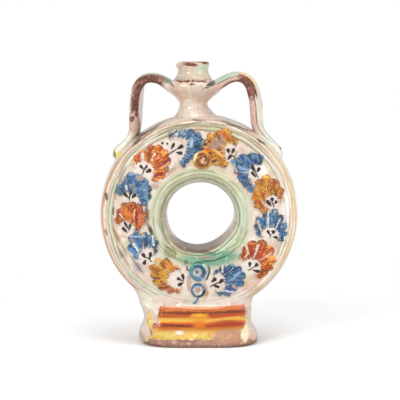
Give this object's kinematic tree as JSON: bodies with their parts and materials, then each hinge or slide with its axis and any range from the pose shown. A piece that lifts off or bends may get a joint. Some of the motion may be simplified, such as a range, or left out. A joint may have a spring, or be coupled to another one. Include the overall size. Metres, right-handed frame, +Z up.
{
  "type": "ring flask",
  "caption": "Glazed earthenware ring flask: a hollow ring on a squared foot, with a funnel neck, a narrow spout, strap handles and relief flowers round the front.",
  "frame": {"origin": "on the rest plane, under the centre of the ring", "axes": "+Z up through the neck, +X to the right seen from the front, -Y to the front, +Y along the ring's own axis"},
  "size_m": [0.197, 0.072, 0.2792],
  "materials": {
    "tin_glaze": "glossy cream tin glaze with a pinkish body showing through, fine pinholes and brown chips",
    "mint_glaze": "glossy pale mint glaze with darker green pooled in turned grooves",
    "foot_glaze": "glossy cream and yellow glaze over bare pinkish clay at the base",
    "panel_glaze": "glossy orange-brown and yellow glaze in level bands",
    "handle_glaze": "cream and green glaze on top, worn through to red-brown clay along the front edge",
    "blue_glaze": "glossy cobalt blue glaze, darker where it pooled and paler on the raised edges",
    "orange_glaze": "glossy iron orange glaze with rust-red pools",
    "golden_glaze": "glossy golden-brown glaze with orange pools"
  },
  "bodies": {
    "root": {"ring_front_face": "tin_glaze", "ring_back_face": "tin_glaze", "ring_outer_hoop": "tin_glaze", "ring_hole_tube": "mint_glaze", "foot_stand": "foot_glaze", "foot_front_panel": "panel_glaze", "foot_back_panel": "panel_glaze", "neck": "tin_glaze", "spout": "tin_glaze", "handle_left": "handle_glaze", "handle_right": "handle_glaze", "rosette_top_orange": "orange_glaze", "rosette_bottom_blue": "blue_glaze", "rosette_lowest_blue": "blue_glaze", "flower_left_1_golden": "golden_glaze", "flower_left_2_blue": "blue_glaze", "flower_left_3_orange": "orange_glaze", "flower_left_4_blue": "blue_glaze", "flower_left_5_orange": "orange_glaze", "flower_left_6_blue": "blue_glaze", "flower_right_1_blue": "blue_glaze", "flower_right_2_orange": "orange_glaze", "flower_right_3_blue": "blue_glaze", "flower_right_4_golden": "golden_glaze", "flower_right_5_blue": "blue_glaze", "flower_right_6_golden": "golden_glaze"}
  },
  "joints": []
}
